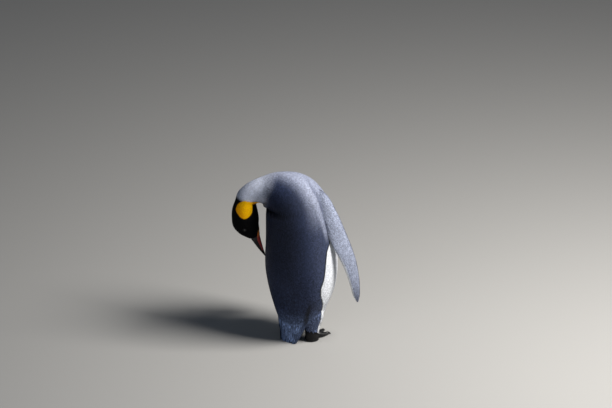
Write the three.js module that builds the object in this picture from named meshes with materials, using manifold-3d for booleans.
// A life-size king penguin that stands and preens its left flank, in millimetres.
// The bird faces -Y, its left side is +X and +Z is up. The soles and the tail's tip are at z = 0.
// The neck bends over in one upright plane that points to the bird's left and 40 degrees back.
import * as THREE from 'three'
import Module from 'manifold-3d'

const wasm = await Module()
wasm.setup()

const degree = Math.PI / 180
const parting = 0.3 // the thin cut between two neighbouring parts

// ---- driving sizes ----
const bendYaw = 40 * degree // the neck's bending plane, turned back from the bird's left
const bodyTurn = 130 // degrees from the outer side of the bend to the bird's back, at the trunk
const trunkWidth = 252 // across the fullest part of the belly, feathers included
const headDepth = 94 // crown to throat
const billLength = 104 // feather edge to tip
const eyeRadius = 8.5
const flipperThickness = 13 // over the forearm
const footSpread = 52 // from the middle plane to the middle of a foot
const toeLength = 75 // ankle to the root of the middle claw
const clawLength = 16
const legBottom = 43 // where the leg's feathers end behind

// ---- directions of the bend ----
const toSide = new THREE.Vector3(Math.cos(bendYaw), Math.sin(bendYaw), 0) // where the neck leans
const toBack = new THREE.Vector3(-Math.sin(bendYaw), Math.cos(bendYaw), 0) // square to that plane
const up = new THREE.Vector3(0, 0, 1)

// A point from its distance along the lean, square to it, and its height.
const place = (lean, across, height) => new THREE.Vector3()
  .addScaledVector(toSide, lean).addScaledVector(toBack, across).addScaledVector(up, height)

// ---- smooth curves through stations ----
// Each station is a row of numbers. The curve passes through every row, with an even flow between.
function smooth(rows, t) {
  const last = rows.length - 1
  const at = Math.min(Math.max(t, 0), 1) * last
  const i = Math.min(Math.floor(at), last - 1)
  const f = at - i
  const row = (j) => rows[Math.min(Math.max(j, 0), last)]
  return rows[i].map((_, c) => {
    const slopeA = (row(i + 1)[c] - row(i - 1)[c]) / (i > 0 ? 2 : 1)
    const slopeB = (row(i + 2)[c] - row(i)[c]) / (i + 2 <= last ? 2 : 1)
    const a = row(i)[c]
    const b = row(i + 1)[c]
    return a * (1 + 2 * f) * (1 - f) ** 2 + slopeA * f * (1 - f) ** 2
      + b * f * f * (3 - 2 * f) + slopeB * f * f * (f - 1)
  })
}

// ---- the spine of the trunk, neck and head ----
// Each row is one cross section: where its centre is (lean, across, height), its half width, its depth
// on the back's and the breast's side, the turn of the back about the spine, and the tilt of the
// section from level. The tilt goes from 0 in the trunk to past 180 where the head hangs down.
const w = trunkWidth / 2
const trunkRows = [
  [0, 0, 48, 24, 22, 26, bodyTurn, 0],
  [0, 0, 51, 48, 43, 52, bodyTurn, 0],
  [0, 0, 64, 66, 62, 74, bodyTurn, 0],
  [0, 0, 92, 0.65 * w, 80, 90, bodyTurn, 0],
  [0, 0, 128, 0.76 * w, 89, 98, bodyTurn, 0],
  [0, 0, 165, 0.88 * w, 94, 115, bodyTurn, 0],
  [0, 0, 205, 0.96 * w, 101, 130, bodyTurn, 0],
  [0, 0, 255, w, 111, 137, bodyTurn, 0],
  [0, 0, 305, w, 114, 135, bodyTurn, 0],
  [0, 0, 355, 0.975 * w, 113, 128, bodyTurn, 0],
  [2, 0, 405, 0.95 * w, 111, 120, bodyTurn, 0],
  [5, 0, 455, 0.91 * w, 111, 112, bodyTurn, 1],
]

// Over the shoulders and along the neck, every section's plane passes through one pivot, the hollow
// under the bent neck. A section is told by its angle round the pivot, its outer and inner reach.
const pivot = { lean: 130, height: 495 }
function ringAbout(angle, outer, inner, side, turn) {
  const reach = (outer + inner) / 2
  const half = (outer - inner) / 2
  const a = angle * degree
  return [pivot.lean - reach * Math.cos(a), 0, pivot.height + reach * Math.sin(a),
    side, half, half, turn, angle]
}
const neckRows = [
  ringAbout(5, 228, 12, 106, 128),
  ringAbout(17, 212, 9, 101, 122),
  ringAbout(29, 195, 7, 94, 112),
  ringAbout(42, 171, 6, 84, 98),
  ringAbout(56, 145, 6, 71, 82),
  ringAbout(72, 125, 8, 58, 64),
  ringAbout(90, 105, 12, 47.5, 46),
  ringAbout(110, 97.5, 16, 41.5, 30),
  ringAbout(130, 96, 19, 39, 16),
  ringAbout(149, 97.5, 22, 38, 7),
]
// Head rows run from the nape to the feather edge at the bill.
const h = headDepth / 2
const headRows = [
  [187, 0, 509, 38.2, 0.79 * h, 0.79 * h, 2, 167],
  [190, 0, 480, 38.6, 0.94 * h, 0.94 * h, 0, 176],
  [189, 0, 450, 37.4, h, h, 0, 180],
  [186, -1, 424, 33.8, 0.97 * h, 0.93 * h, 0, 187],
  [176, -3, 403, 27.5, 0.8 * h, 0.76 * h, 0, 196],
  [164, -6, 388, 20, 0.59 * h, 0.52 * h, 0, 204],
  [154.5, -8, 376, 14.6, 0.41 * h, 0.34 * h, 0, 206],
]
const spineRows = [...trunkRows, ...neckRows, ...headRows]
const spineLast = spineRows.length - 1
const neckStart = (trunkRows.length + 4.4) / spineLast // cuts, as shares of the spine
const neckMiddle = (trunkRows.length + 6.6) / spineLast
const headStart = (trunkRows.length + neckRows.length - 0.9) / spineLast

// The cross section at a share t of the spine, with its centre, its axes and its radii.
function spineAt(t) {
  const [lean, across, height, side, dorsal, ventral, turn, tilt] = smooth(spineRows, t)
  const slope = tilt * degree
  const spin = turn * degree
  const along = place(Math.sin(slope), 0, Math.cos(slope))
  const outer = place(-Math.cos(slope), 0, Math.sin(slope))
  const dorsalAxis = outer.clone().multiplyScalar(Math.cos(spin)).addScaledVector(toBack, Math.sin(spin))
  const leftAxis = new THREE.Vector3().crossVectors(dorsalAxis, along)
  return {
    centre: place(lean, across, height), along, outer, dorsalAxis, leftAxis, side, dorsal, ventral,
  }
}

// ---- from cross sections to closed bodies ----
// A ring of points: an oval with one half width, and its own depth above and below the middle.
function oval(section, count, grow = 0, squareness = 2) {
  const ring = []
  for (let i = 0; i < count; i += 1) {
    const a = (2 * Math.PI * i) / count
    const c = Math.cos(a)
    const s = Math.sin(a)
    const k = (Math.abs(c) ** squareness + Math.abs(s) ** squareness) ** (-1 / squareness)
    const depth = s > 0 ? section.dorsal : section.ventral
    ring.push(section.centre.clone()
      .addScaledVector(section.leftAxis, c * k * (section.side + grow))
      .addScaledVector(section.dorsalAxis, s * k * (depth + grow)))
  }
  return ring
}

// Closes a stack of rings into one body, with a fan of triangles over each end.
function skinOver(rings) {
  const count = rings[0].length
  const points = rings.flat()
  const faces = []
  const middle = (ring) => ring.reduce((sum, p) => sum.add(p), new THREE.Vector3())
    .multiplyScalar(1 / ring.length)
  for (let j = 0; j + 1 < rings.length; j += 1) {
    for (let i = 0; i < count; i += 1) {
      const a = j * count + i
      const b = j * count + ((i + 1) % count)
      faces.push([a, b, b + count], [a, b + count, a + count])
    }
  }
  const first = points.push(middle(rings[0])) - 1
  const end = points.push(middle(rings.at(-1))) - 1
  const lift = (rings.length - 1) * count
  for (let i = 0; i < count; i += 1) {
    const n = (i + 1) % count
    faces.push([first, n, i], [end, lift + i, lift + n])
  }
  return bodyOf(points, faces)
}

// One solid from points and triangles, turned the right way out.
function bodyOf(points, faces) {
  const volume = faces.reduce((sum, [a, b, c]) => sum
    + points[a].dot(new THREE.Vector3().crossVectors(points[b], points[c])), 0)
  const order = volume > 0 ? faces : faces.map(([a, b, c]) => [a, c, b])
  return new wasm.Manifold(new wasm.Mesh({
    numProp: 3,
    vertProperties: Float32Array.from(points.flatMap((p) => [p.x, p.y, p.z])),
    triVerts: Uint32Array.from(order.flat()),
  }))
}

// A body round a path: rows are smoothed, then each row becomes one cross section.
function loft(rows, toSection, steps, count, { grow = 0, squareness = 2, from = 0, to = 1 } = {}) {
  const rings = []
  for (let j = 0; j <= steps; j += 1) {
    const section = toSection(smooth(rows, from + ((to - from) * j) / steps))
    rings.push(oval(section, count, grow, squareness))
  }
  return skinOver(rings)
}

// The same oval, its points spread by true angle from the outer side of the bend, so that the rows of
// points run straight along the neck while the oval itself turns.
function ovalFromOuter(section, count, grow) {
  const { side, dorsal, ventral } = section
  const ring = []
  for (let i = 0; i < count; i += 1) {
    const a = (2 * Math.PI * i) / count
    const ray = section.outer.clone().multiplyScalar(Math.cos(a)).addScaledVector(toBack, Math.sin(a))
    const c = ray.dot(section.leftAxis) / (side + grow)
    const s = ray.dot(section.dorsalAxis)
    ring.push(ray.multiplyScalar(1 / Math.hypot(c, s / ((s > 0 ? dorsal : ventral) + grow)))
      .add(section.centre))
  }
  return ring
}

// A length of the spine's body, its ends flat and drawn back by half a parting.
function spineBody(from, to, steps, count, grow = 0) {
  const rings = []
  for (let j = 0; j <= steps; j += 1) {
    const section = spineAt(from + ((to - from) * j) / steps)
    if (j === 0 && from > 0) section.centre.addScaledVector(section.along, parting / 2 - grow)
    if (j === steps) section.centre.addScaledVector(section.along, grow - (to < 1 ? parting / 2 : 0))
    rings.push(ovalFromOuter(section, count, grow))
  }
  return skinOver(rings)
}

const ball = (centre, radius, count = 10) => {
  const rings = []
  for (let j = 0; j <= count / 2; j += 1) {
    const polar = 0.12 + ((Math.PI - 0.24) * j) / (count / 2)
    rings.push(oval({
      centre: centre.clone().addScaledVector(up, -radius * Math.cos(polar)),
      leftAxis: new THREE.Vector3(1, 0, 0), dorsalAxis: new THREE.Vector3(0, 1, 0),
      side: radius * Math.sin(polar), dorsal: radius * Math.sin(polar), ventral: radius * Math.sin(polar),
    }, count))
  }
  return skinOver(rings)
}

// A large block that keeps only what is above a height.
function blockAbove(height) {
  const size = 1000
  const corner = (x, y, z) => new THREE.Vector3(x * size, y * size, height + z * size)
  const ring = (z) => [corner(-1, -1, z), corner(1, -1, z), corner(1, 1, z), corner(-1, 1, z)]
  return skinOver([ring(0), ring(1)])
}

// ---- trunk, neck and head ----
const trunk = spineBody(0, neckStart, 25, 34)
const trunkRoom = spineBody(0, neckStart, 25, 34, parting)
const neckBase = spineBody(neckStart, neckMiddle, 5, 26)
const neckTop = spineBody(neckMiddle, headStart, 7, 26)
let head = spineBody(headStart, 1, 11, 26)

// ---- eyes ----
// Each eyeball sits in a socket in the side of the head and shows as a low dome.
const eyeShare = 1 - 2.75 / spineLast
function eyeCentre(side) {
  const s = spineAt(eyeShare)
  return s.centre.clone().addScaledVector(s.dorsalAxis, 7).addScaledVector(s.leftAxis, side * (s.side - 7))
}
const eyes = [1, -1].map((side) => ball(eyeCentre(side), eyeRadius))
eyes.forEach((_, i) => {
  head = head.subtract(ball(eyeCentre(i === 0 ? 1 : -1), eyeRadius + parting))
})

// ---- bill ----
// The two halves follow one gently drooping line from the feather edge to the tip.
const billRoot = spineAt(1)
const billAlong = place(-0.34, -0.35, -0.875).normalize()
const billLeft = billRoot.leftAxis.clone()
  .addScaledVector(billAlong, -billRoot.leftAxis.dot(billAlong)).normalize()
const billUp = new THREE.Vector3().crossVectors(billAlong, billLeft).normalize()
const headRoom = spineBody(headStart, 1, 11, 26, parting)
// Rows: share of the bill's length, droop, half width, depth of the upper and of the lower half.
const billRows = [-0.06, 0.04, 0.16, 0.34, 0.54, 0.74, 0.9, 1].map((f) => {
  const slim = f < 0 ? 0.72 : 1 - f
  return [f, 1.5 * Math.sin(Math.PI * Math.max(f, 0)), 13 * slim ** 0.85 + 1.2,
    16 * slim ** 0.98 + 1.5, 14 * slim + 1.2]
})
function billSection([f, droop, side, upper, lower]) {
  return {
    centre: billRoot.centre.clone().addScaledVector(billAlong, f * billLength)
      .addScaledVector(billUp, droop),
    side, upper, lower,
  }
}
// One half: an oval cut off flat along the line where the two halves close.
function billHalf(isUpper, grow = 0, cutFree = true) {
  const reach = isUpper ? 1 : 0.95
  const rings = []
  for (let j = 0; j <= 10; j += 1) {
    const section = billSection(smooth(billRows, (reach * j) / 10))
    const ring = []
    for (let i = 0; i <= 8; i += 1) {
      const a = (Math.PI * i) / 8
      const depth = grow + (isUpper ? section.upper : section.lower)
      const lift = parting / 2 - grow + Math.sin(a) * (depth + grow)
      ring.push(section.centre.clone().addScaledVector(billLeft, Math.cos(a) * (section.side + grow))
        .addScaledVector(billUp, isUpper ? lift : -lift))
    }
    rings.push(ring)
  }
  return cutFree ? skinOver(rings).subtract(headRoom) : skinOver(rings)
}
// The coloured plate on each side of the lower half. It starts on the feathered chin, behind the root
// of the bill, and lies just off the horn and the chin as one thin curved shell.
// Rows: distance along the bill from its root, lower and upper edge below the closing line.
const plateRows = [[-27, 26, 20], [-18, 30, 13.5], [-6, 30, 7], [8, 30, 3], [35, 30, 2], [62, 30, 2.2],
  [71, 30, 4.4]]
const plateInner = 4 // how far each plate stays from the chin's middle line
const plateThickness = 1.6
function billPlate(side) {
  const rings = plateRows.map(([reach, low, high]) => {
    const f = reach / billLength
    const droop = smooth(billRows, (f + 0.06) / 1.06)[1]
    const corner = (out, drop) => billRoot.centre.clone().addScaledVector(billAlong, reach)
      .addScaledVector(billLeft, side * out).addScaledVector(billUp, droop - drop)
    return [corner(plateInner, high), corner(60, high), corner(60, low), corner(plateInner, low)]
  })
  const shell = (grow) => spineBody(headStart, 1, 11, 26, grow).add(billHalf(false, grow, false))
  return skinOver(rings).intersect(shell(plateThickness)).subtract(shell(1.2 * parting))
    .subtract(billHalf(true, parting, false)).subtract(spineBody(0, neckStart, 25, 34, parting))
}

const group = new THREE.Group()
group.name = 'king_penguin'
const finishes = {
  back: new THREE.MeshStandardMaterial({ name: 'back', color: 0x3a4356, roughness: 0.75 }),
  nape: new THREE.MeshStandardMaterial({ name: 'nape', color: 0x9aa2b4, roughness: 0.8 }),
  hood: new THREE.MeshStandardMaterial({ name: 'hood', color: 0x15161a, roughness: 0.6 }),
  flipper: new THREE.MeshStandardMaterial({ name: 'flipper', color: 0x5a6478, roughness: 0.7 }),
  horn: new THREE.MeshStandardMaterial({ name: 'horn', color: 0x121214, roughness: 0.4 }),
  plate: new THREE.MeshStandardMaterial({ name: 'plate', color: 0xb0524a, roughness: 0.45 }),
  eye: new THREE.MeshStandardMaterial({ name: 'eye', color: 0x20140e, roughness: 0.1 }),
  foot: new THREE.MeshStandardMaterial({ name: 'foot', color: 0x1b1b1e, roughness: 0.7 }),
}

// Turns a solid into a named mesh of the group.
function add(name, solid, finish) {
  const { vertProperties, triVerts } = solid.getMesh()
  const geometry = new THREE.BufferGeometry()
  geometry.setAttribute('position', new THREE.BufferAttribute(Float32Array.from(vertProperties), 3))
  geometry.setIndex(Array.from(triVerts))
  geometry.computeVertexNormals()
  const mesh = new THREE.Mesh(geometry, finishes[finish])
  mesh.name = name
  group.add(mesh)
}

// ---- flippers ----
// Each flipper is one blade with a stiff elbow. Rows run from the shoulder to the tip: out from the
// middle plane, back, height, half chord, half thickness.
const flipperRows = [
  [46, -8, 566, 22, 10],
  [82, -12, 540, 33, 19],
  [106, -24, 480, 35.5, 12],
  [134, -48, 393, 33, 0.5 * flipperThickness],
  [157, -69, 320, 27.5, 0.44 * flipperThickness],
  [168, -80, 271, 23, 0.38 * flipperThickness],
  [175, -88, 222, 18.5, 0.32 * flipperThickness],
  [179, -93, 178, 13, 0.26 * flipperThickness],
  [181, -96, 153, 3.5, 0.14 * flipperThickness],
]
// The trunk side of each neighbour is cut back by one parting.
function flipper(side, drawIn) {
  const down = new THREE.Vector3(side * 0.21, -0.2, -0.96).normalize()
  const chord = new THREE.Vector3(side * 0.35, -0.93, 0.08) // rear edge to leading edge
  chord.addScaledVector(down, -chord.dot(down)).normalize()
  const face = new THREE.Vector3().crossVectors(chord, down).normalize()
  return loft(flipperRows, ([out, back, height, half, thick]) => ({
    centre: new THREE.Vector3(side * (out - drawIn * Math.min(1, (572 - height) / 300)), back, height),
    leftAxis: chord, dorsalAxis: face, side: half, dorsal: thick, ventral: thick,
  }), 14, 16).subtract(trunkRoom)
}

// ---- tail ----
// The rump's stiff feathers form a blunt wedge that reaches the ground behind the heels.
const tailRows = [
  // back, height, half width, half thickness
  [20, 150, 56, 46],
  [33, 110, 65, 40],
  [41, 76, 61, 31],
  [49, 40, 49, 19],
  [59, 12, 38, 9.5],
  [66, -10, 31, 5],
]
const tailShape = (grow) => loft(tailRows, ([y, z, side, thick]) => ({
  centre: new THREE.Vector3(0, y, z), leftAxis: new THREE.Vector3(1, 0, 0),
  dorsalAxis: new THREE.Vector3(0, 0.96, 0.28), side, dorsal: thick, ventral: thick,
}), 9, 22, { grow })
const tail = tailShape(0).subtract(trunkRoom).intersect(blockAbove(0))
const tailRoom = tailShape(parting)

// ---- legs ----
// Short feathered shanks. Their feathers end higher behind than in front, above the scaly feet.
const legRows = [
  // out, back, height, half width, half depth
  [48, -8, 146, 36, 38],
  [54, -3, 118, 40, 41],
  [56.5, 0, 92, 38, 39],
  [55.5, 0, 64, 29, 32],
  [53.5, -1, 40, 24.5, 28],
  [52, -3, 14, 22.5, 27],
]
const legShape = (side, grow) => loft(legRows, ([x, y, z, wide, deep]) => ({
  centre: new THREE.Vector3(side * x, y, z), leftAxis: new THREE.Vector3(1, 0, 0),
  dorsalAxis: new THREE.Vector3(0, 0.94, 0.34), side: wide, dorsal: deep, ventral: deep,
}), 8, 18, { grow })
// A plane that rises from front to back keeps the feathers above it.
function featherEdge(side) {
  const level = new THREE.Vector3(0, 0.83, 0.56).normalize()
  const rise = new THREE.Vector3(0, -0.56, 0.83).normalize()
  const centre = new THREE.Vector3(side * footSpread, 0, legBottom - 12)
  const corner = (a, b, c) => centre.clone().add(new THREE.Vector3(a * 300, 0, 0))
    .addScaledVector(level, b * 300).addScaledVector(rise, c * 600)
  const ring = (c) => [corner(-1, -1, c), corner(1, -1, c), corner(1, 1, c), corner(-1, 1, c)]
  return skinOver([ring(0), ring(1)])
}
const leg = (side) => legShape(side, 0).intersect(featherEdge(side))
  .subtract(trunkRoom).subtract(tailRoom)

// ---- feet ----
// A thick scaly ankle, three toes joined by webs and a flat sole. Claws are parts of their own.
const toes = [
  // name, turn outward from the foot's line, length, half width
  { name: 'inner', turn: -20, length: 0.82 * toeLength, half: 10.5 },
  { name: 'middle', turn: 2, length: toeLength, half: 11.5 },
  { name: 'outer', turn: 25, length: 0.9 * toeLength, half: 10.5 },
]
const toeIn = -11 // degrees that each foot's line turns towards the other foot
const ankle = { y: 0, height: 52 }
const heading = (side, turn) => {
  const a = (toeIn + turn) * degree
  return new THREE.Vector3(side * Math.sin(a), -Math.cos(a), 0)
}
function toeSolid(side, toe, grow = 0) {
  const ahead = heading(side, toe.turn)
  const across = new THREE.Vector3(-ahead.y, ahead.x, 0)
  const start = new THREE.Vector3(side * footSpread, ankle.y, 0)
  const rows = [[6, 15, 11, 13], [30, 15, toe.half, 12], [0.45 * toe.length + 14, 11, toe.half, 9.5],
    [0.8 * toe.length, 9, toe.half * 0.92, 8], [toe.length, 7.5, toe.half * 0.62, 5.5]]
  return loft(rows, ([reach, z, wide, deep]) => ({
    centre: start.clone().addScaledVector(ahead, reach).addScaledVector(up, z),
    leftAxis: across, dorsalAxis: up, side: wide, dorsal: deep * 0.8, ventral: deep * 1.2,
  }), 6, 10, { grow })
}
function web(side) {
  const start = new THREE.Vector3(side * footSpread, ankle.y, 0)
  const rim = [[0, 0], ...toes.flatMap((toe, i) => {
    const tip = [toe.turn, 0.88 * toe.length]
    const next = toes[i + 1]
    return next ? [tip, [(toe.turn + next.turn) / 2, 0.82 * Math.min(toe.length, next.length)]] : [tip]
  })]
  const level = (z) => rim.map(([turn, reach]) => start.clone()
    .addScaledVector(heading(side, turn), reach).addScaledVector(up, z))
  return skinOver([level(0), level(4)])
}
function foot(side) {
  const rows = [[10, -2, 22, 25], [26, 2, 20.5, 22], [40, 5, 20, 18], [ankle.height, 7, 19.5, 16]]
  let solid = loft([[-6, -5, 22.5, 26], ...rows], ([z, y, wide, deep]) => ({
    centre: new THREE.Vector3(side * footSpread, y, z), leftAxis: new THREE.Vector3(1, 0, 0),
    dorsalAxis: new THREE.Vector3(0, 1, 0), side: wide, dorsal: deep, ventral: deep,
  }), 5, 16)
  toes.forEach((toe) => { solid = solid.add(toeSolid(side, toe)) })
  return solid.add(web(side)).intersect(blockAbove(0)).subtract(legShape(side, parting)
    .intersect(featherEdge(side).translate([0, 0, -parting])))
}
function claw(side, toe) {
  const ahead = heading(side, toe.turn)
  const across = new THREE.Vector3(-ahead.y, ahead.x, 0)
  const start = new THREE.Vector3(side * footSpread, ankle.y, 0)
  const rows = [[-7, 8, 4.2, 4.6], [0, 8.6, 4.8, 4.9], [0.35 * clawLength, 8, 4.3, 4.4],
    [0.7 * clawLength, 5.6, 3, 3.2], [clawLength, 1.7, 1.1, 1.1]]
  return loft(rows, ([reach, z, wide, deep]) => ({
    centre: start.clone().addScaledVector(ahead, toe.length + reach).addScaledVector(up, z),
    leftAxis: across, dorsalAxis: new THREE.Vector3(0, 0, 1), side: wide, dorsal: deep, ventral: deep,
  }), 5, 8).intersect(blockAbove(0)).subtract(toeSolid(side, toe, parting))
}

add('trunk', trunk, 'back')
add('neck_base', neckBase, 'nape')
add('neck_top', neckTop, 'nape')
add('head', head, 'hood')
add('eye_left', eyes[0], 'eye')
add('eye_right', eyes[1], 'eye')
add('bill_upper', billHalf(true), 'horn')
add('bill_lower', billHalf(false), 'horn')
add('bill_plate_left', billPlate(1), 'plate')
add('bill_plate_right', billPlate(-1), 'plate')
add('flipper_left', flipper(1, 12), 'flipper')
add('flipper_right', flipper(-1, 0), 'flipper')
add('tail', tail, 'back')
for (const [side, hand] of [[1, 'left'], [-1, 'right']]) {
  add(`leg_${hand}`, leg(side), 'back')
  add(`foot_${hand}`, foot(side), 'foot')
  for (const toe of toes) add(`claw_${toe.name}_${hand}`, claw(side, toe), 'horn')
}

// The frame's origin is under the middle of the part's box, on the ground.
const box = new THREE.Box3().setFromObject(group)
group.position.set(-(box.min.x + box.max.x) / 2, -(box.min.y + box.max.y) / 2, -box.min.z)

export default group
